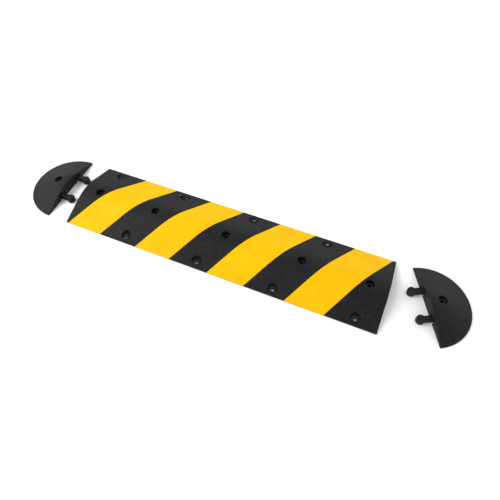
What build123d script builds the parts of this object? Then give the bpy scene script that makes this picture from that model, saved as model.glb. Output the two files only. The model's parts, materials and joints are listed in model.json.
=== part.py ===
from build123d import *
import os
from math import cos, radians, sin, tan

# Cable protector ramp: a low arched rubber section with yellow inlays, and two loose half-round
# end caps whose connector links plug into its ends. Millimetres. X runs along the ramp, Y across
# it and Z up from the road. The origin is the centre of the ramp's base.
ramp_length = 1220
ramp_width = 305
ramp_height = 46
crown_radius = 170
flank_angle = 18
edge_radius = 2

# Yellow inlays, flush with the top and wrapped over both lips, leaning in plan.
stripe_count = 4
stripe_pitch = 295
stripe_width = 143
stripe_lean = 0.56
stripe_thickness = 2.5
stripe_foot = 1.5

# Two cable channels in the underside, on each side of the ridge holes.
channel_width = 20
channel_height = 26
channel_offset = 23
channel_corner = 5

# Anchor holes: five along the ridge and four along each long edge, whose pockets reach upslope.
ridge_end_hole = 542
ridge_floor = 29
ridge_pocket_radius = 16
edge_hole_shift = 87
edge_hole_offset = 130
edge_floor = 6.5
edge_pocket_radius = 18
edge_pocket_offset = 125

# Steel ferrules that line the anchor holes down to the road.
ferrule_radius = 9
ferrule_bore_radius = 5.5
flange_radius = 12
flange_thickness = 1.8

# Double-ended connector links, each one half in an end cap and half in the ramp.
link_offset = 53
link_reach = 54
link_head_radius = 15
link_neck_width = 19
link_bottom = 2
link_top = 22
link_edge = 1.5
socket_top = 23
socket_end_gap = 0.5
cap_socket_gap = 0.1
ramp_socket_gap = 0.75
mouth_flare = 3
mouth_depth = 30

# End caps: the ramp's half section turned about its ridge line.
cap_hole_distance = 48
cap_floor = 24
cap_bush_gap = 0.05
cap_flange_lift = 0.15

# Where the loose caps lie: the middle of each flat side, and how far each cap is turned.
left_cap_place = (-694, 0)
left_cap_turn = 180
right_cap_place = (741, 15.5)
right_cap_turn = 27.5

half_width = ramp_width / 2
half_length = ramp_length / 2
clear = 1


def surface(inset=0):
    """Half the section's top: the lip, the flank and the crown's start, drawn in by inset."""
    radius = crown_radius - inset
    reach = half_width - inset
    turn = radians(flank_angle)
    turn_y = radius * sin(turn)
    turn_z = ramp_height - crown_radius + radius * cos(turn)
    lip_z = turn_z - (reach - turn_y) * tan(turn)
    return reach, lip_z, turn_y, turn_z


def ramp_section(inset=0):
    """The whole section across the ramp: straight flanks tangent to an arched crown."""
    reach, lip_z, turn_y, turn_z = surface(inset)
    lower = Polyline(
        (-turn_y, turn_z), (-reach, lip_z), (-reach, 0), (reach, 0), (reach, lip_z), (turn_y, turn_z)
    )
    crown = ThreePointArc((turn_y, turn_z), (0, ramp_height - inset), (-turn_y, turn_z))
    return Plane.YZ * make_face(lower + crown)


def cap_section():
    """Half the ramp's section, from the ridge line to one lip."""
    reach, lip_z, turn_y, turn_z = surface()
    lower = Polyline((0, ramp_height), (0, 0), (reach, 0), (reach, lip_z), (turn_y, turn_z))
    middle = radians(flank_angle / 2)
    crown_centre = ramp_height - crown_radius
    halfway = (crown_radius * sin(middle), crown_centre + crown_radius * cos(middle))
    crown = ThreePointArc((turn_y, turn_z), halfway, (0, ramp_height))
    return Plane.XZ * make_face(lower + crown)


def prism(outline, bottom, top):
    """A plan outline raised from bottom to top."""
    return Pos(0, 0, bottom) * extrude(make_face(outline), top - bottom)


def post(x, y, radius, bottom, top):
    """An upright round bar at a place in plan."""
    return Pos(x, y, bottom) * Cylinder(radius, top - bottom, align=(Align.CENTER, Align.CENTER, Align.MIN))


def anchor_hole(x, y, floor, pocket_y, pocket_radius, bore_radius=ferrule_radius):
    """The space of one anchor hole: a pocket for the bolt head over a straight bore."""
    pocket = post(x, pocket_y, pocket_radius, floor, ramp_height + clear)
    return pocket + post(x, y, bore_radius, -clear, floor)


def ferrule(x, y, floor):
    """A steel sleeve with a thin flange that carries the bolt head on the pocket's floor."""
    body = post(x, y, ferrule_radius, 0, floor) + post(x, y, flange_radius, floor, floor + flange_thickness)
    return body - post(x, y, ferrule_bore_radius, -clear, ramp_height)


def stripe(middle):
    """One inlay: a leaning band of the ramp's skin, clear of the road at both lips."""
    band = [
        (middle + side * stripe_width / 2 + stripe_lean * y, y)
        for side, y in ((-1, -half_width), (1, -half_width), (1, half_width), (-1, half_width))
    ]
    skin = extrude(ramp_section(), half_length, both=True)
    skin -= extrude(ramp_section(stripe_thickness), ramp_length, both=True)
    return skin & prism(Polyline(*band, close=True), stripe_foot, ramp_height)


def link_plan():
    """Plan of a connector link: two round heads joined by a narrower neck."""
    head = Pos(link_reach - link_head_radius, 0) * Circle(link_head_radius)
    neck = Rectangle(2 * (link_reach - link_head_radius), link_neck_width)
    return neck + head + mirror(head, Plane.YZ)


def connector_link(y):
    """One link lying across the cap's flat side, which is the plane x = 0."""
    body = extrude(link_plan(), link_top - link_bottom)
    rims = body.edges().group_by(Axis.Z)
    body = chamfer(rims[0] + rims[-1], link_edge)
    return Pos(0, y, link_bottom) * body


def link_socket(y, gap, flare=0):
    """The space that takes half a link: open below and at x = 0, round at its far end."""
    width = link_head_radius + gap
    depth = link_reach + socket_end_gap - width
    side = [(depth, width)]
    if flare:
        side += [(mouth_depth, width)]
    side += [(-clear, width + flare * (1 + clear / mouth_depth))]
    back = [(x, -w) for x, w in reversed(side)]
    walls = Polyline(*side, *back)
    end = ThreePointArc((depth, -width), (depth + width, 0), (depth, width))
    return Pos(0, y, 0) * prism(walls + end, -clear, socket_top)


def soften(solid, joint_face):
    """Round the upper edges of a joint face, which is an upright plane across X."""
    edges = [e for e in solid.edges() if abs(e.center().X - joint_face) < 0.01 and e.center().Z > 0.01]
    return fillet(edges, edge_radius)


def ramp_body():
    """The ramp's rubber moulding, with recesses, channels, pockets and sockets."""
    body = extrude(ramp_section(), half_length, both=True)
    for joint_face in (-half_length, half_length):
        body = soften(body, joint_face)
    for inlay in stripes:
        body -= inlay
    for side in (-1, 1):
        mould = RectangleRounded(channel_width, 2 * channel_height, channel_corner)
        body -= Pos(0, side * channel_offset, 0) * extrude(Plane.YZ * mould, ramp_length, both=True)
        for y in (-link_offset, link_offset):
            socket = link_socket(y, ramp_socket_gap, mouth_flare)
            turned = Rot(0, 0, 180) * socket if side == 1 else socket
            body -= Pos(side * half_length, 0, 0) * turned
    for hole in anchors:
        body -= anchor_hole(*hole)
    return body


def end_cap():
    """One half-round cap with its flat side on the plane x = 0 and its dome towards +X."""
    body = Rot(0, 0, -90) * revolve(cap_section(), Axis.Z, 180)
    body = soften(body, 0)
    for y in (-link_offset, link_offset):
        body -= link_socket(y, cap_socket_gap)
    bore_radius = ferrule_radius + cap_bush_gap
    return body - anchor_hole(cap_hole_distance, 0, cap_floor, 0, ridge_pocket_radius, bore_radius)


def cap_bush():
    """The ferrule of an end cap, lifted off the pocket's floor so that the cap can turn on it."""
    return ferrule(cap_hole_distance, 0, cap_floor + cap_flange_lift)


def save(name, solid):
    """Write one sub-part as a single solid."""
    export_step(solid.solid(), f"parts/{name}.step")


stripe_middles = [(n - (stripe_count - 1) / 2) * stripe_pitch for n in range(stripe_count)]
ridge_holes = [-ridge_end_hole, -stripe_pitch, 0, stripe_pitch, ridge_end_hole]
front_holes = [middle + edge_hole_shift for middle in stripe_middles]
rear_holes = [middle - edge_hole_shift for middle in stripe_middles]
anchor_rows = {"ridge": [(x, 0, ridge_floor, 0, ridge_pocket_radius) for x in ridge_holes]}
for row, side, holes in (("front", -1, front_holes), ("rear", 1, rear_holes)):
    hole_y, pocket_y = side * edge_hole_offset, side * edge_pocket_offset
    anchor_rows[row] = [(x, hole_y, edge_floor, pocket_y, edge_pocket_radius) for x in holes]
anchors = [hole for row in anchor_rows.values() for hole in row]
stripes = [stripe(middle) for middle in stripe_middles]

os.makedirs("parts", exist_ok=True)
save("ramp_body", ramp_body())
for number, inlay in enumerate(stripes, 1):
    save(f"stripe_{number}", inlay)
for row, holes in anchor_rows.items():
    for number, (x, y, floor, *_) in enumerate(holes, 1):
        save(f"{row}_ferrule_{number}", ferrule(x, y, floor))

left_place = Location((*left_cap_place, 0), (0, 0, left_cap_turn))
right_place = Location((*right_cap_place, 0), (0, 0, right_cap_turn))
for side, place, front_sign in (("left", left_place, 1), ("right", right_place, -1)):
    save(f"{side}_end_cap", place * end_cap())
    save(f"{side}_cap_bush", place * cap_bush())
    save(f"{side}_link_front", place * connector_link(front_sign * link_offset))
    save(f"{side}_link_rear", place * connector_link(-front_sign * link_offset))
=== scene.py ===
import json
from math import acos, ceil, copysign, cos, hypot, pi, radians, sin, sqrt, tan

import bmesh
import bpy
from mathutils import Matrix, Vector
from mathutils.geometry import delaunay_2d_cdt


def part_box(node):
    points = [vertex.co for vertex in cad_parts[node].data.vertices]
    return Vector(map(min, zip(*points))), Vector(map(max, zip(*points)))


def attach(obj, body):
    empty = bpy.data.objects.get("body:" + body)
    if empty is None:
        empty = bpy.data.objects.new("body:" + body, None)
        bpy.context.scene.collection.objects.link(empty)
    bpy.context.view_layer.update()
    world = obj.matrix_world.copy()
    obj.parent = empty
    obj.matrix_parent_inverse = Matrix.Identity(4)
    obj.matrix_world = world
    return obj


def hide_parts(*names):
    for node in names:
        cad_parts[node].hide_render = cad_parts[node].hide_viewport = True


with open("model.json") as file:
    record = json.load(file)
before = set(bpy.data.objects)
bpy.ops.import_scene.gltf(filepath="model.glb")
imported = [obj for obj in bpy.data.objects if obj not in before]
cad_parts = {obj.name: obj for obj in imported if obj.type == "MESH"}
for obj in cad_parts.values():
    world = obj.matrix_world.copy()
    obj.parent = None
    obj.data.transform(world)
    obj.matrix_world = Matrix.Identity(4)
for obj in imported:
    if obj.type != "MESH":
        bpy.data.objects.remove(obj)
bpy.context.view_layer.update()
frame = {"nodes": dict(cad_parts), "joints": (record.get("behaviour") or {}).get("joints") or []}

# The moulded section, in metres: an arched crown, straight flanks and a low upright lip.
_, RAMP_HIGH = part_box("ramp_body")
HALF_LENGTH = RAMP_HIGH.x
HALF_WIDTH = RAMP_HIGH.y
TOP = RAMP_HIGH.z
CROWN_RADIUS = 0.170
FLANK = radians(18)
LIP_ROUND = 0.003
END_ROUND = 0.002
CROWN_STEPS = 12
FLANK_STEPS = 4
LIP_TURNS = (72, 54, 36, 18)
INLAY_LIP_TURNS = (72, 60, 48, 36, 24, 12, 0)

# Shares of a rounding's width at which it gets a row of points.
ROUND_STEPS = (0.0, 0.05, 0.2, 0.45, 0.75, 1.0)
RIM_STEPS = (0.03, 0.08, 0.16, 0.28, 0.45, 0.70, 1.0)

# Inlays, the seam between an inlay and the rubber, and the run of a nearly upright step.
STRIPE_THICKNESS = 0.0025
STRIPE_FOOT = 0.0015
STRIPE_LEAN = 0.56
STRIPE_WIDTH = 0.143
INNER_LIP = HALF_WIDTH - STRIPE_THICKNESS
SEAM = 0.00015
SEAM_ROUND = 0.0007
STEEP = 0.00005

# Pockets for the bolt heads, the steel sleeves under them, and the caps' slightly wider bores.
POCKET_SEGMENTS = 48
RIM_SHARE = 0.40
FLOOR_ROUND = 0.0005
SLEEVE_RADIUS = 0.009
CAP_BORE = 0.00905
RIDGE_POCKET = 0.016
RIDGE_RIM = 0.0018
EDGE_POCKET = 0.018
EDGE_POCKET_OFFSET = 0.125
EDGE_RIM = 0.0055
SLEEVE_BORE = 0.0055
SLEEVE_EDGE = 0.0004
SLEEVE_SEGMENTS = 48
FLANGE_THICKNESS = 0.0018
CLEAR_OF_RIM = 0.0008

# The underside: cable channels, and sockets for the connector links.
CHANNEL_OFFSET = 0.023
CHANNEL_HALF_WIDTH = 0.010
CHANNEL_HEIGHT = 0.026
CHANNEL_CORNER = 0.005
CHANNEL_TURN_STEP = 18
SOCKET_TOP = 0.023
SOCKET_DEPTH = 0.0545
SOCKET_TURN_STEP = 10
RAMP_SOCKET = 0.01575
CAP_SOCKET = 0.0151
MOUTH_FLARE = 0.003
MOUTH_DEPTH = 0.030
CUT = 0.005

# The connector links: sizes in plan, heights, and the steps round their curves.
LINK_OFFSET = 0.053
LINK_REACH = 0.054
LINK_HEAD = 0.015
LINK_NECK = 0.0095
LINK_FILLET = 0.006
LINK_BOTTOM = 0.002
LINK_TOP = 0.022
LINK_EDGE = 0.0018
HEAD_STEPS = 8
FILLET_STEPS = 4
EDGE_TURNS = (0, 22, 45, 68, 90)

# The end caps.
CAP_HOLE = 0.048
CAP_FLOOR = 0.024
CAP_SEGMENTS = 96
CLEAR_OF_STEPS = 1.2
RING_SPACING = 0.006
FEWEST_RING_STEPS = 8

# Mesh making: welding, triangulation in millimetres, and smooth shading.
WELD = 1e-7
MILLI = 1000
PLAN_TOLERANCE = 1e-4
ALL_TRIANGLES = 0
JUST_INSIDE = 0.999
SHARP_ANGLE = radians(35)
LARGE_FACE_WEIGHT = 80


# ---------------------------------------------------------------- small mesh tools

def add_object(name, bm):
    """Make an object in the scene from a bmesh, and free the bmesh."""
    bmesh.ops.remove_doubles(bm, verts=bm.verts, dist=WELD)
    bmesh.ops.recalc_face_normals(bm, faces=bm.faces)
    mesh = bpy.data.meshes.new(name)
    bm.to_mesh(mesh)
    bm.free()
    made = bpy.data.objects.new(name, mesh)
    bpy.context.scene.collection.objects.link(made)
    return made


def finish_shading(piece):
    """Smooth faces, sharp edges where the surface turns, and normals that favour the large faces."""
    mesh = piece.data
    mesh.polygons.foreach_set("use_smooth", [True] * len(mesh.polygons))
    mesh.set_sharp_from_angle(angle=SHARP_ANGLE)
    weighted = piece.modifiers.new("weighted normals", "WEIGHTED_NORMAL")
    weighted.keep_sharp = True
    weighted.weight = LARGE_FACE_WEIGHT


def loft(name, rows):
    """A closed skin over rows of points, each row a closed loop of the same length."""
    bm = bmesh.new()
    rings = [[bm.verts.new(p) for p in row] for row in rows]
    count = len(rings[0])
    for low, high in zip(rings, rings[1:]):
        for k in range(count):
            m = (k + 1) % count
            bm.faces.new((low[k], low[m], high[m], high[k]))
    bm.faces.new(rings[0])
    bm.faces.new(list(reversed(rings[-1])))
    return add_object(name, bm)


def lathe(name, outline, place):
    """A closed outline of (radius, height) turned about an upright axis."""
    bm = bmesh.new()
    rings = []
    for k in range(SLEEVE_SEGMENTS):
        turn = 2 * pi * k / SLEEVE_SEGMENTS
        across, along = cos(turn), sin(turn)
        rings.append([bm.verts.new((place.x + r * across, place.y + r * along, z)) for r, z in outline])
    count = len(outline)
    for k in range(SLEEVE_SEGMENTS):
        this, following = rings[k], rings[(k + 1) % SLEEVE_SEGMENTS]
        for n in range(count):
            m = (n + 1) % count
            bm.faces.new((this[n], following[n], following[m], this[m]))
    return add_object(name, bm)


def subtract(target, tools):
    """Cut tools out of target for good, and remove them."""
    for tool in tools:
        modifier = target.modifiers.new("cut", "BOOLEAN")
        modifier.operation = "DIFFERENCE"
        modifier.solver = "EXACT"
        modifier.object = tool
    bpy.context.view_layer.update()
    graph = bpy.context.evaluated_depsgraph_get()
    result = bpy.data.meshes.new_from_object(target.evaluated_get(graph))
    target.modifiers.clear()
    old = target.data
    target.data = result
    bpy.data.meshes.remove(old)
    for tool in tools:
        bpy.data.objects.remove(tool)


def rounding(distance, radius):
    """How far a rounded edge has dropped at a distance from the edge."""
    if distance >= radius:
        return 0.0
    run = radius - max(distance, 0.0)
    return radius - sqrt(radius * radius - run * run)


# ---------------------------------------------------------------- the moulded section

def lip_centre(inset=0.0):
    """Centre and radius of the lip's rounded top edge."""
    radius = LIP_ROUND - inset
    edge = HALF_WIDTH - inset
    crown = CROWN_RADIUS - inset
    turn_z = TOP - CROWN_RADIUS + crown * cos(FLANK)
    lip_z = turn_z - (edge - crown * sin(FLANK)) * tan(FLANK)
    return edge - radius, lip_z + radius * tan(FLANK) - radius / cos(FLANK), radius


def section_height(reach, inset=0.0):
    """Height of the top at a distance from the ridge line, with the surface drawn in by inset."""
    reach = abs(reach)
    crown = CROWN_RADIUS - inset
    turn = crown * sin(FLANK)
    if reach <= turn:
        return TOP - CROWN_RADIUS + sqrt(crown * crown - reach * reach)
    centre, centre_z, radius = lip_centre(inset)
    if reach <= centre + radius * sin(FLANK):
        return TOP - CROWN_RADIUS + crown * cos(FLANK) - (reach - turn) * tan(FLANK)
    return centre_z + sqrt(max(radius * radius - (reach - centre) ** 2, 0.0))


def upper_reaches():
    """Distances from the ridge line at which the crown and the flank get a row of points."""
    turn = CROWN_RADIUS * sin(FLANK)
    centre, _, radius = lip_centre()
    start = centre + radius * sin(FLANK)
    crown = [CROWN_RADIUS * sin(FLANK * k / CROWN_STEPS) for k in range(CROWN_STEPS)]
    return crown + [turn + (start - turn) * k / FLANK_STEPS for k in range(FLANK_STEPS)]


def section_reaches():
    """The same, and the rows over the lip's rounding, which starts where the flank ends."""
    centre, _, radius = lip_centre()
    return upper_reaches() + [centre + radius * cos(radians(a)) for a in LIP_TURNS]


# ---------------------------------------------------------------- mouldings with pockets

def circle(x, y, radius):
    """Points round a circle in plan."""
    turns = [2 * pi * k / POCKET_SEGMENTS for k in range(POCKET_SEGMENTS)]
    return [(x + radius * cos(t), y + radius * sin(t)) for t in turns]


class Pocket:
    """A round pocket with a rounded rim and a floor, and the bore below it."""

    def __init__(self, x, y, radius, floor, rim, bore_y, bore_radius=SLEEVE_RADIUS):
        self.x, self.y, self.radius = x, y, radius
        self.floor, self.rim = floor, rim
        self.bore_y, self.bore_radius = bore_y, bore_radius

    def distance(self, x, y):
        """How far a place in plan is from the pocket's axis."""
        return hypot(x - self.x, y - self.y)

    def in_bore(self, x, y):
        """Whether a place in plan is over the bore."""
        return hypot(x - self.x, y - self.bore_y) < self.bore_radius

    def rim_rings(self):
        """The pocket's edge, and rings over the rounding outside it."""
        radii = [self.radius] + [self.radius + share * self.rim for share in RIM_STEPS]
        return [circle(self.x, self.y, radius) for radius in radii]

    def drop(self, x, y, surface):
        """How far the rim's rounding lowers the surface here: more where the pocket is deeper."""
        outside = self.distance(x, y) - self.radius
        if outside > self.rim:
            return 0.0
        return rounding(outside, min(self.rim, RIM_SHARE * (surface - self.floor)))

    def wall(self):
        """Rings of points down the wall, across the floor and down the bore."""
        rows = []
        for a in (0, pi / 6, pi / 3, pi / 2):
            radius = self.radius - FLOOR_ROUND * (1 - cos(a))
            z = self.floor + FLOOR_ROUND * (1 - sin(a))
            rows.append([(*p, z) for p in circle(self.x, self.y, radius)])
        for radius, z in (
            (self.bore_radius + FLOOR_ROUND, self.floor),
            (self.bore_radius, self.floor - FLOOR_ROUND),
            (self.bore_radius, 0.0),
        ):
            rows.append([(*p, z) for p in circle(self.x, self.bore_y, radius)])
        return rows


def triangulate(points, edges):
    """Delaunay triangles over plan points in metres, kept to the given edges."""
    flat = [Vector((x * MILLI, y * MILLI)) for x, y in points]
    verts, _, faces, origins, _, _ = delaunay_2d_cdt(flat, edges, [], ALL_TRIANGLES, PLAN_TOLERANCE, True)
    return [(v.x / MILLI, v.y / MILLI) for v in verts], faces, origins


def clipped(start, end, pockets):
    """Straight stretches of a line that stay clear of every pocket's rim."""
    steps = [start]
    a, b = Vector(start), Vector(end)
    along = (b - a).normalized()
    blocked = []
    for pocket in pockets:
        centre = Vector((pocket.x, pocket.y)) - a
        t = centre.dot(along)
        away = abs(centre.cross(along))
        reach = pocket.radius + pocket.rim + CLEAR_OF_RIM
        if away < reach and 0 < t < (b - a).length:
            half = sqrt(reach * reach - away * away)
            blocked.append((t - half, t + half))
    for low, high in sorted(blocked):
        steps += [tuple(a + along * low), tuple(a + along * high)]
    steps.append(end)
    return [[steps[k], steps[k + 1]] for k in range(0, len(steps), 2)]


def trace(points, edges, chain, closed=False):
    """Add a chain of plan points and its edges, and give the points' numbers."""
    first = len(points)
    points.extend(chain)
    last = len(points) - 1
    edges.extend((k, k + 1) for k in range(first, last))
    if closed:
        edges.append((last, first))
    return list(range(first, last + 1))


def shaped_top(bm, plan, faces, pockets, height):
    """The upper skin, open over every pocket. Gives its points in the plan's order."""
    top = [bm.verts.new((x, y, height(x, y))) for x, y in plan]
    for face in faces:
        x = sum(plan[k][0] for k in face) / 3
        y = sum(plan[k][1] for k in face) / 3
        if all(pocket.distance(x, y) > pocket.radius * JUST_INSIDE for pocket in pockets):
            bm.faces.new([top[k] for k in face])
    return top


def upright_sides(bm, rims):
    """Walls from the skin's outer edge down to the road. Gives the foot's points and edges."""
    in_rim = {v for rim in rims for v in rim}
    outer = [e for e in bm.edges if e.is_boundary and not (e.verts[0] in in_rim and e.verts[1] in in_rim)]
    foot = {}
    for edge in outer:
        for v in edge.verts:
            if v not in foot:
                foot[v] = bm.verts.new((v.co.x, v.co.y, 0))
    base = list(foot.values())
    number = {v: k for k, v in enumerate(base)}
    base_edges = []
    for edge in outer:
        a, b = edge.verts
        bm.faces.new((a, b, foot[b], foot[a]))
        base_edges.append((number[foot[a]], number[foot[b]]))
    return base, base_edges


def pocket_wall(bm, pocket, rim):
    """The skin from a pocket's rim to the foot of its bore. Gives the foot's points."""
    above = rim
    for row in pocket.wall():
        below = [bm.verts.new(p) for p in row]
        for k in range(POCKET_SEGMENTS):
            m = (k + 1) % POCKET_SEGMENTS
            bm.faces.new((above[k], above[m], below[m], below[k]))
        above = below
    return above


def flat_base(bm, base, base_edges, pockets):
    """The underside, open at every bore."""
    _, faces, origins = triangulate([(v.co.x, v.co.y) for v in base], base_edges)
    for face in faces:
        corners = [base[origins[k][0]] for k in face]
        middle = sum((v.co for v in corners), Vector()) / 3
        if not any(pocket.in_bore(middle.x, middle.y) for pocket in pockets):
            bm.faces.new(corners)


def moulding(name, border, lines, pockets, height):
    """A closed solid with a shaped top, upright sides, a flat base and round pockets and bores."""
    points, edges = [], []
    trace(points, edges, border, closed=True)
    for line in lines:
        trace(points, edges, line)
    rim_numbers = []
    for pocket in pockets:
        rings = [trace(points, edges, ring, closed=True) for ring in pocket.rim_rings()]
        rim_numbers.append(rings[0])
    plan, faces, origins = triangulate(points, edges)
    place = {source: index for index, sources in enumerate(origins) for source in sources}

    bm = bmesh.new()
    top = shaped_top(bm, plan, faces, pockets, height)
    rims = [[top[place[k]] for k in numbers] for numbers in rim_numbers]
    base, base_edges = upright_sides(bm, rims)
    for pocket, rim in zip(pockets, rims):
        first = len(base)
        base += pocket_wall(bm, pocket, rim)
        base_edges += [(first + k, first + (k + 1) % POCKET_SEGMENTS) for k in range(POCKET_SEGMENTS)]
    flat_base(bm, base, base_edges, pockets)
    loose = [v for v in bm.verts if not v.link_faces]
    bmesh.ops.delete(bm, geom=loose, context="VERTS")
    return add_object(name, bm)


def prism(outline, bottom, top):
    """An upright prism over a plan outline, used as a cutter."""
    return loft("cutter", [[(x, y, z) for x, y in outline] for z in (bottom, top)])


def socket_outline(half_width, flare):
    """Plan of a link's socket, from its mouth on x = 0 into the rubber along +X."""
    depth = SOCKET_DEPTH - half_width
    turns = [radians(a) for a in range(0, 91, SOCKET_TURN_STEP)]
    side = [(depth + half_width * cos(a), half_width * sin(a)) for a in turns]
    if flare:
        side.append((MOUTH_DEPTH, half_width))
    side.append((-CUT, half_width + flare * (1 + CUT / MOUTH_DEPTH)))
    return side + [(x, -y) for x, y in reversed(side[1:])]


# ---------------------------------------------------------------- the ramp

def stripe_middles():
    """Where each inlay crosses the ridge line."""
    boxes = [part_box(node) for node in sorted(frame["nodes"]) if node.startswith("stripe_")]
    return [(low.x + high.x) / 2 for low, high in boxes]


MIDDLES = stripe_middles()


def ramp_pockets():
    """The thirteen anchor pockets, each where its ferrule is."""
    found = []
    for name in sorted(frame["nodes"]):
        if "_ferrule_" in name:
            low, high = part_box(name)
            middle = (low + high) / 2
            floor = high.z - FLANGE_THICKNESS
            if name.startswith("ridge"):
                found.append(Pocket(middle.x, middle.y, RIDGE_POCKET, floor, RIDGE_RIM, middle.y))
            else:
                upslope = copysign(EDGE_POCKET_OFFSET, middle.y)
                found.append(Pocket(middle.x, upslope, EDGE_POCKET, floor, EDGE_RIM, middle.y))
    return found


def ramp_lines(pockets):
    """Lines over the top that it bends along: the section's rows, the seams and the end roundings."""
    lines = []
    reaches = section_reaches() + [INNER_LIP, INNER_LIP - STEEP]
    for y in sorted({side * reach for reach in reaches for side in (-1, 1)}):
        lines += clipped((-HALF_LENGTH, y), (HALF_LENGTH, y), pockets)
    for middle in MIDDLES:
        for side in (-1, 1):
            for away in [-STEEP] + [share * SEAM_ROUND for share in ROUND_STEPS]:
                x = middle + side * (STRIPE_WIDTH / 2 + away)
                lines.append([(x + STRIPE_LEAN * y, y) for y in (-HALF_WIDTH, HALF_WIDTH)])
    for side in (-1, 1):
        for share in ROUND_STEPS[1:]:
            x = side * (HALF_LENGTH - share * END_ROUND)
            lines.append([(x, -HALF_WIDTH), (x, HALF_WIDTH)])
    return lines


def channel_outline():
    """Section of a cable channel, open below, with round upper corners."""
    straight = CHANNEL_HALF_WIDTH - CHANNEL_CORNER
    spring = CHANNEL_HEIGHT - CHANNEL_CORNER
    arch = [(CHANNEL_HALF_WIDTH, -CUT)]
    for side, start in ((1, 0), (-1, 90)):
        for a in range(start, start + 91, CHANNEL_TURN_STEP):
            turn = radians(a)
            y = side * straight + CHANNEL_CORNER * cos(turn)
            arch.append((y, spring + CHANNEL_CORNER * sin(turn)))
    arch.append((-CHANNEL_HALF_WIDTH, -CUT))
    return arch


def ramp_cutters():
    """What is cut out of the ramp from below: a channel and two sockets on each side."""
    cutters = []
    ends = (-HALF_LENGTH - CUT, HALF_LENGTH + CUT)
    for side in (-1, 1):
        middle = side * CHANNEL_OFFSET
        cutters.append(loft("cutter", [[(x, middle + y, z) for y, z in channel_outline()] for x in ends]))
        for offset in (-LINK_OFFSET, LINK_OFFSET):
            outline = socket_outline(RAMP_SOCKET, MOUTH_FLARE)
            plan = [(side * (HALF_LENGTH - x), offset + y) for x, y in outline]
            cutters.append(prism(plan, -CUT, SOCKET_TOP))
    return cutters


def ramp_moulding():
    """The long rubber body, with recesses for the inlays, pockets, channels and sockets."""
    pockets = ramp_pockets()

    def height(x, y):
        beside = min(abs(x - middle - STRIPE_LEAN * y) for middle in MIDDLES) - STRIPE_WIDTH / 2
        if beside < -STEEP / 2:
            if abs(y) > INNER_LIP - STEEP / 2:
                return STRIPE_FOOT
            return section_height(y, STRIPE_THICKNESS)
        z = section_height(y)
        z -= sum(pocket.drop(x, y, z) for pocket in pockets)
        return z - rounding(beside, SEAM_ROUND) - rounding(HALF_LENGTH - abs(x), END_ROUND)

    border = [(-HALF_LENGTH, -HALF_WIDTH), (HALF_LENGTH, -HALF_WIDTH)]
    border += [(HALF_LENGTH, HALF_WIDTH), (-HALF_LENGTH, HALF_WIDTH)]
    body = moulding("ramp_moulding", border, ramp_lines(pockets), pockets, height)
    subtract(body, ramp_cutters())
    return body


def inlay_chain():
    """The inlay's section from lip to lip: each point's place and its outward normal."""
    centre, centre_z, radius = lip_centre()
    half = []
    for reach in upper_reaches():
        tilt = min(reach / CROWN_RADIUS, sin(FLANK))
        half.append((reach, section_height(reach), tilt, sqrt(1 - tilt * tilt)))
    for a in INLAY_LIP_TURNS:
        turn = radians(a)
        half.append((centre + radius * cos(turn), centre_z + radius * sin(turn), cos(turn), sin(turn)))
    half.append((HALF_WIDTH, STRIPE_FOOT, 1.0, 0.0))
    return [(-y, z, -ny, nz) for y, z, ny, nz in reversed(half[1:])] + half


def inlay(name, middle):
    """One yellow inlay: the skin of the section between two leaning sides with rounded edges."""
    side = STRIPE_WIDTH / 2 - SEAM
    edge = [(side - s * SEAM_ROUND, rounding(s * SEAM_ROUND, SEAM_ROUND)) for s in ROUND_STEPS]
    edge.insert(0, (side, STRIPE_THICKNESS - STEEP))
    outline = [(-across, down) for across, down in edge] + list(reversed(edge))
    rows = []
    for y, z, ny, nz in inlay_chain():
        row = []
        for across, down in outline:
            drawn_y = y - ny * down
            row.append((middle + across + STRIPE_LEAN * drawn_y, drawn_y, z - nz * down))
        rows.append(row)
    return loft(name, rows)


# ---------------------------------------------------------------- caps, links and ferrules

def rim_y(x):
    """Half the width of a cap's base at a distance from its flat side."""
    return sqrt(HALF_WIDTH ** 2 - x * x)


def cap_border(steps):
    """Plan of a cap's base, with a point on its rim at each step of the flat side's rounding."""
    turns = [pi * k / CAP_SEGMENTS for k in range(1, CAP_SEGMENTS)]
    rim = [(HALF_WIDTH * sin(t), -HALF_WIDTH * cos(t)) for t in turns]
    rim = [(x, y) for x, y in rim if x > CLEAR_OF_STEPS * END_ROUND]
    start = [(x, -rim_y(x)) for x in [0.0] + steps]
    return start + rim + [(x, -y) for x, y in reversed(start)]


def cap_rings(pocket):
    """Half rings of points over the dome, broken where they would cross the pocket's rim."""
    runs = []
    for reach in section_reaches()[1:]:
        count = max(FEWEST_RING_STEPS, ceil(pi * reach / RING_SPACING))
        turns = [pi * k / count for k in range(1, count)]
        arc = [(0.0, -reach)] + [(reach * sin(t), -reach * cos(t)) for t in turns] + [(0.0, reach)]
        run = []
        for point in arc:
            if pocket.distance(*point) > pocket.radius + pocket.rim + CLEAR_OF_RIM:
                run.append(point)
            elif run:
                runs.append(run)
                run = []
        if run:
            runs.append(run)
    return runs


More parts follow.
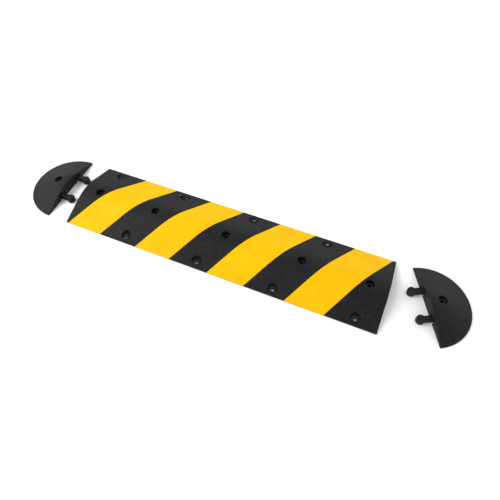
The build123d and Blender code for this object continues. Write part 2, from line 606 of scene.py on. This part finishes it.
def cap_moulding(name, place):
    """One half-round end cap, its flat side on x = 0 and its dome towards +X before it is placed."""
    pocket = Pocket(CAP_HOLE, 0.0, RIDGE_POCKET, CAP_FLOOR, RIDGE_RIM, 0.0, CAP_BORE)

    def height(x, y):
        z = section_height(min(hypot(x, y), HALF_WIDTH))
        return z - pocket.drop(x, y, z) - rounding(x, END_ROUND)

    steps = [share * END_ROUND for share in ROUND_STEPS[1:]]
    lines = [[(x, -rim_y(x)), (x, rim_y(x))] for x in steps] + cap_rings(pocket)
    body = moulding(name, cap_border(steps), lines, [pocket], height)
    cutters = []
    for offset in (-LINK_OFFSET, LINK_OFFSET):
        plan = [(x, offset + y) for x, y in socket_outline(CAP_SOCKET, 0)]
        cutters.append(prism(plan, -CUT, SOCKET_TOP))
    subtract(body, cutters)
    body.data.transform(place)
    return body


def link_outline():
    """Plan of a link, counter-clockwise, with each point's outward normal."""
    reach = LINK_REACH - LINK_HEAD
    drop = LINK_NECK + LINK_FILLET
    run = sqrt((LINK_HEAD + LINK_FILLET) ** 2 - drop ** 2)
    meet = acos(-run / (LINK_HEAD + LINK_FILLET))
    quarter = []
    for k in range(HEAD_STEPS + 1):
        a = meet * k / HEAD_STEPS
        quarter.append((reach + LINK_HEAD * cos(a), LINK_HEAD * sin(a), cos(a), sin(a)))
    for k in range(1, FILLET_STEPS + 1):
        a = meet + (pi / 2 - meet) * k / FILLET_STEPS
        x, y = reach - run - LINK_FILLET * cos(a), drop - LINK_FILLET * sin(a)
        quarter.append((x, y, cos(a), sin(a)))
    quarter.append((0.0, LINK_NECK, 0.0, 1.0))
    upper = quarter + [(-x, y, -nx, ny) for x, y, nx, ny in reversed(quarter[:-1])]
    return upper + [(x, -y, nx, -ny) for x, y, nx, ny in reversed(upper[1:-1])]


def connector_link(name, offset, place):
    """A double-ended link with rounded edges, lying across the cap's flat side."""
    turns = [radians(a) for a in EDGE_TURNS]
    lower = [(LINK_BOTTOM + LINK_EDGE * (1 - sin(a)), LINK_EDGE * (1 - cos(a))) for a in reversed(turns)]
    upper = [(LINK_TOP - LINK_EDGE * (1 - sin(a)), LINK_EDGE * (1 - cos(a))) for a in turns]
    outline = link_outline()
    rows = []
    for z, inset in lower + upper:
        rows.append([(x - nx * inset, offset + y - ny * inset, z) for x, y, nx, ny in outline])
    piece = loft(name, rows)
    piece.data.transform(place)
    return piece


def ferrule(name, node):
    """A flanged steel sleeve, turned to the size of its CAD node."""
    low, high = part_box(node)
    flange = (high.x - low.x) / 2
    middle = (low + high) / 2
    bore, edge, seat = SLEEVE_BORE, SLEEVE_EDGE, high.z - FLANGE_THICKNESS
    outline = [(bore, low.z + edge), (bore, high.z - 2 * edge), (bore + edge, high.z - edge / 2)]
    outline += [(bore + 2 * edge, high.z), (flange - edge, high.z), (flange - edge / 4, high.z - edge / 3)]
    outline += [(flange, high.z - edge), (flange, seat + edge / 2), (flange - edge / 2, seat)]
    outline += [(SLEEVE_RADIUS, seat), (SLEEVE_RADIUS, low.z + edge), (SLEEVE_RADIUS - edge, low.z)]
    outline += [(bore + edge, low.z)]
    return lathe(name, outline, middle)


# ---------------------------------------------------------------- materials

# Scales, per metre, of the pressed granules and of the fine grain on everything moulded.
GRANULES = 380
FINE_GRAIN = 1400
GRANULE_SMOOTHNESS = 0.4

# Pointiness at which a surface starts to count as an edge, and at which it fully does.
EDGE_START = 0.515
EDGE_END = 0.60

# The colour sockets of the Mix node, whose names repeat for each kind of data.
MIX_A, MIX_B, MIX_RESULT = 6, 7, 2


class Look:
    """A small helper that builds one node material."""

    def __init__(self, name):
        self.material = bpy.data.materials.new(name)
        self.material.use_nodes = True
        self.nodes = self.material.node_tree.nodes
        self.links = self.material.node_tree.links
        self.shader = self.nodes["Principled BSDF"]
        self.where = self.nodes.new("ShaderNodeTexCoord").outputs["Object"]

    def noise(self, scale, detail=4.0, roughness=0.55):
        """Noise about 0.5 over the surface."""
        node = self.nodes.new("ShaderNodeTexNoise")
        node.inputs["Scale"].default_value = scale
        node.inputs["Detail"].default_value = detail
        node.inputs["Roughness"].default_value = roughness
        self.links.new(self.where, node.inputs["Vector"])
        return node.outputs["Fac"]

    def granules(self):
        """Rounded granules: the height of each, and a random tone for each."""
        node = self.nodes.new("ShaderNodeTexVoronoi")
        node.feature = "SMOOTH_F1"
        node.inputs["Scale"].default_value = GRANULES
        node.inputs["Smoothness"].default_value = GRANULE_SMOOTHNESS
        self.links.new(self.where, node.inputs["Vector"])
        split = self.nodes.new("ShaderNodeSeparateColor")
        self.links.new(node.outputs["Color"], split.inputs["Color"])
        return self.maths("SUBTRACT", 1.0, node.outputs["Distance"]), split.outputs["Red"]

    def edges(self, reach):
        """Up to reach where the surface turns outwards, broken up by noise."""
        turned = self.nodes.new("ShaderNodeNewGeometry").outputs["Pointiness"]
        edge = self.span(turned, 0.0, reach, start=EDGE_START, end=EDGE_END)
        return self.maths("MULTIPLY", edge, self.noise(90, detail=6, roughness=0.7))

    def ramp(self, value, *stops):
        """A colour from a value, by stops of (value, colour)."""
        node = self.nodes.new("ShaderNodeValToRGB")
        elements = node.color_ramp.elements
        for element, (position, colour) in zip(elements, stops):
            element.position = position
            element.color = (*colour, 1.0)
        self.links.new(value, node.inputs["Fac"])
        return node.outputs["Color"]

    def span(self, value, low, high, start=0.3, end=0.7):
        """From low to high as a value goes from start to end, and level beyond."""
        node = self.nodes.new("ShaderNodeMapRange")
        node.inputs["From Min"].default_value = start
        node.inputs["From Max"].default_value = end
        node.inputs["To Min"].default_value = low
        node.inputs["To Max"].default_value = high
        self.links.new(value, node.inputs["Value"])
        return node.outputs["Result"]

    def maths(self, operation, a, b):
        """One operation on two values, each a number or another node's output."""
        node = self.nodes.new("ShaderNodeMath")
        node.operation = operation
        for socket, value in zip(node.inputs, (a, b)):
            if isinstance(value, (int, float)):
                socket.default_value = value
            else:
                self.links.new(value, socket)
        return node.outputs["Value"]

    def mix(self, share, a, b):
        """A blend from a to b, each a colour or another node's output."""
        node = self.nodes.new("ShaderNodeMix")
        node.data_type = "RGBA"
        self.links.new(share, node.inputs["Factor"])
        for number, value in ((MIX_A, a), (MIX_B, b)):
            if isinstance(value, tuple):
                node.inputs[number].default_value = (*value, 1.0)
            else:
                self.links.new(value, node.inputs[number])
        return node.outputs[MIX_RESULT]

    def bump(self, heights, strength, distance):
        """Raise the shaded surface by heights."""
        node = self.nodes.new("ShaderNodeBump")
        node.inputs["Strength"].default_value = strength
        node.inputs["Distance"].default_value = distance
        self.links.new(heights, node.inputs["Height"])
        self.links.new(node.outputs["Normal"], self.shader.inputs["Normal"])

    def bump_moulded(self, granule, strength, distance):
        """Raise pressed granules, with the fine grain over them."""
        grain = self.maths("MULTIPLY", self.noise(FINE_GRAIN, detail=3), 0.5)
        self.bump(self.maths("ADD", granule, grain), strength, distance)

    def give(self, name, value):
        """Set one of the shader's inputs to a number or another node's output."""
        if isinstance(value, bpy.types.NodeSocket):
            self.links.new(value, self.shader.inputs[name])
        else:
            self.shader.inputs[name].default_value = value


def rubber(name, dark, light, dust):
    """Moulded recycled rubber: pressed granules, broad tone changes, a little dust and rubbed edges."""
    look = Look(name)
    granule, shade = look.granules()
    tone = look.ramp(look.noise(60, detail=6, roughness=0.65), (0.30, dark), (0.72, light))
    speckled = look.mix(look.span(shade, 0.0, 0.55, start=0.55, end=1.0), tone, dust)
    dusty = look.span(look.noise(9, detail=5, roughness=0.6), 0.0, 0.30, start=0.45, end=0.75)
    rubbed = look.maths("MAXIMUM", dusty, look.edges(0.8))
    look.give("Base Color", look.mix(rubbed, speckled, dust))
    look.give("Roughness", look.span(look.noise(140), 0.46, 0.62))
    look.give("Specular IOR Level", 0.15)
    look.bump_moulded(granule, strength=0.55, distance=0.0007)
    return look.material


def yellow_inlay():
    """Yellow moulded rubber, slightly mottled, with the same granules and faint scuffs."""
    deep, bright = (0.80, 0.430, 0.0003), (0.88, 0.510, 0.0006)
    speck, grime = (0.72, 0.38, 0.0004), (0.46, 0.25, 0.004)
    look = Look("inlay_yellow")
    granule, shade = look.granules()
    tone = look.ramp(look.noise(14, detail=6, roughness=0.6), (0.30, deep), (0.70, bright))
    speckled = look.mix(look.span(shade, 0.0, 0.45, start=0.6, end=1.0), tone, speck)
    scuff = look.span(look.noise(75, detail=8, roughness=0.75), 0.0, 0.22, start=0.66, end=0.80)
    rubbed = look.maths("MAXIMUM", scuff, look.edges(0.35))
    look.give("Base Color", look.mix(rubbed, speckled, grime))
    look.give("Roughness", look.span(look.noise(160), 0.48, 0.64))
    look.give("Specular IOR Level", 0.08)
    look.bump_moulded(granule, strength=0.35, distance=0.0006)
    return look.material


def black_steel():
    """Black oxide steel, worn brighter in patches."""
    oxide, bare = (0.020, 0.020, 0.022), (0.16, 0.155, 0.15)
    look = Look("ferrule_black_steel")
    worn = look.ramp(look.noise(220, detail=6, roughness=0.7), (0.50, oxide), (0.85, bare))
    look.give("Base Color", worn)
    look.give("Metallic", 0.85)
    look.give("Roughness", look.span(look.noise(400), 0.38, 0.58))
    look.bump(look.noise(1200, detail=2), strength=0.08, distance=0.0002)
    return look.material


def pale_floor():
    """A matt white floor, very slightly uneven in tone."""
    look = Look("studio_floor")
    look.give("Base Color", look.ramp(look.noise(1.2, detail=2), (0.0, (0.95,) * 3), (1.0, (0.96,) * 3)))
    look.give("Roughness", 0.85)
    look.give("Specular IOR Level", 0.1)
    return look.material


# ---------------------------------------------------------------- assembly

RAMP_RUBBER = rubber(
    "ramp_rubber",
    dark=(0.004, 0.004, 0.005),
    light=(0.009, 0.009, 0.011),
    dust=(0.024, 0.024, 0.026),
)
CAP_RUBBER = rubber(
    "cap_rubber",
    dark=(0.0055, 0.0045, 0.0040),
    light=(0.012, 0.010, 0.009),
    dust=(0.026, 0.023, 0.021),
)
LINK_RUBBER = rubber(
    "link_rubber",
    dark=(0.006, 0.005, 0.0045),
    light=(0.012, 0.010, 0.009),
    dust=(0.022, 0.020, 0.018),
)
YELLOW = yellow_inlay()
STEEL = black_steel()


def install(piece, node, body, material):
    """Give a finished piece its shading, its look and its body, and hide the CAD node that it stands for.
    """
    finish_shading(piece)
    piece.data.materials.clear()
    piece.data.materials.append(material)
    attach(piece, body)
    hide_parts(node)


def cap_places():
    """Each cap's place: its hole's axis and its turn, from the CAD bush and the cap's hinge."""
    turn = next(j for j in frame["joints"] if j["name"] == "right_cap_turn")
    turns = {"left": pi, "right": radians(-turn["range_deg"][0])}
    places = {}
    for side, angle in turns.items():
        low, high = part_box(f"{side}_cap_bush")
        hole = Vector(((low.x + high.x) / 2, (low.y + high.y) / 2, 0))
        turned = Matrix.Rotation(angle, 4, "Z")
        places[side] = Matrix.Translation(hole) @ turned @ Matrix.Translation((-CAP_HOLE, 0, 0))
    return places


install(ramp_moulding(), "ramp_body", "ramp", RAMP_RUBBER)
for number, middle in enumerate(MIDDLES, 1):
    install(inlay(f"yellow_inlay_{number}", middle), f"stripe_{number}", "ramp", YELLOW)
for node in sorted(frame["nodes"]):
    if "_ferrule_" in node:
        install(ferrule(f"{node}_sleeve", node), node, "ramp", STEEL)
for side, place in cap_places().items():
    body = f"{side}_cap"
    bush_body = "left_cap" if side == "left" else "right_bush"
    bush = f"{side}_cap_bush"
    install(cap_moulding(f"{side}_cap_dome", place), f"{side}_end_cap", body, CAP_RUBBER)
    install(ferrule(f"{side}_cap_sleeve", bush), bush, bush_body, STEEL)
    for end, offset in (("front", -LINK_OFFSET), ("rear", LINK_OFFSET)):
        across = -offset if side == "left" else offset
        name = f"{side}_link_{end}"
        install(connector_link(f"{name}_dogbone", across, place), name, body, LINK_RUBBER)


# ---------------------------------------------------------------- floor, light and camera

# The floor and the sky, then the lamps: where each one's light comes from, its strength and width.
FLOOR_SIZE = 60
SKY_STRENGTH = 1.5
SKY_OVERHEAD = 0.25
KEY_FROM = (-0.62, -0.30, 0.72)
KEY_STRENGTH = 1.2
KEY_SPREAD = 30
FILL_FROM = (0.35, 0.75, 0.60)
FILL_STRENGTH = 0.5
FILL_SPREAD = 50
SOFTBOX_PLACE = (-1.58, -0.32, 1.5)
SOFTBOX_SIZE = 0.7
SOFTBOX_POWER = 12

# The camera: the direction and distance that it looks from, the point it looks at, and its lens in mm.
VIEW_AZIMUTH = radians(22.52)
VIEW_ELEVATION = radians(56.04)
VIEW_DISTANCE = 1.649
VIEW_TARGET = Vector((0.0966, -0.0006, 0.0))
VIEW_LENS = 31.94
VIEW_SENSOR = 36


def sky():
    """A plain sky, bright at the horizon and dimmer overhead."""
    world = bpy.data.worlds.new("studio")
    world.use_nodes = True
    nodes, links = world.node_tree.nodes, world.node_tree.links
    background = nodes["Background"]
    split = nodes.new("ShaderNodeSeparateXYZ")
    links.new(nodes.new("ShaderNodeTexCoord").outputs["Generated"], split.inputs["Vector"])
    shade = nodes.new("ShaderNodeValToRGB")
    links.new(split.outputs["Z"], shade.inputs["Fac"])
    horizon, overhead = shade.color_ramp.elements
    horizon.color = (1.0, 1.0, 1.0, 1.0)
    overhead.color = (SKY_OVERHEAD, SKY_OVERHEAD, SKY_OVERHEAD, 1.0)
    links.new(shade.outputs["Color"], background.inputs["Color"])
    background.inputs["Strength"].default_value = SKY_STRENGTH
    bpy.context.scene.world = world


def lamp(name, source, strength, spread):
    """A distant soft lamp, shining from the direction of source."""
    light = bpy.data.lights.new(name, "SUN")
    light.energy = strength
    light.angle = radians(spread)
    holder = bpy.data.objects.new(name, light)
    holder.rotation_euler = (-Vector(source)).to_track_quat("-Z", "Y").to_euler()
    bpy.context.scene.collection.objects.link(holder)


def softbox():
    """A square soft lamp near the left end, turned to the ramp's middle."""
    light = bpy.data.lights.new("softbox", "AREA")
    light.size = SOFTBOX_SIZE
    light.energy = SOFTBOX_POWER
    holder = bpy.data.objects.new("softbox", light)
    holder.location = SOFTBOX_PLACE
    holder.rotation_euler = (-Vector(SOFTBOX_PLACE)).to_track_quat("-Z", "Y").to_euler()
    bpy.context.scene.collection.objects.link(holder)


def studio():
    """A pale floor under the sky, a soft key lamp at the left, a weaker one behind and a softbox."""
    bpy.ops.mesh.primitive_plane_add(size=FLOOR_SIZE)
    floor = bpy.context.object
    floor.name = "studio_floor"
    floor.data.materials.append(pale_floor())
    sky()
    lamp("key", KEY_FROM, KEY_STRENGTH, KEY_SPREAD)
    lamp("fill", FILL_FROM, FILL_STRENGTH, FILL_SPREAD)
    softbox()


def camera():
    """The viewpoint: high over the near side, towards the right-hand end."""
    flat = cos(VIEW_ELEVATION)
    back = Vector((sin(VIEW_AZIMUTH) * flat, -cos(VIEW_AZIMUTH) * flat, sin(VIEW_ELEVATION)))
    lens = bpy.data.cameras.new("view")
    lens.sensor_width = VIEW_SENSOR
    lens.lens = VIEW_LENS
    holder = bpy.data.objects.new("view", lens)
    holder.location = VIEW_TARGET + back * VIEW_DISTANCE
    holder.rotation_euler = (-back).to_track_quat("-Z", "Y").to_euler()
    bpy.context.scene.collection.objects.link(holder)
    bpy.context.scene.camera = holder


studio()
camera()
bpy.context.scene.view_settings.view_transform = "Standard"

bpy.context.view_layer.update()
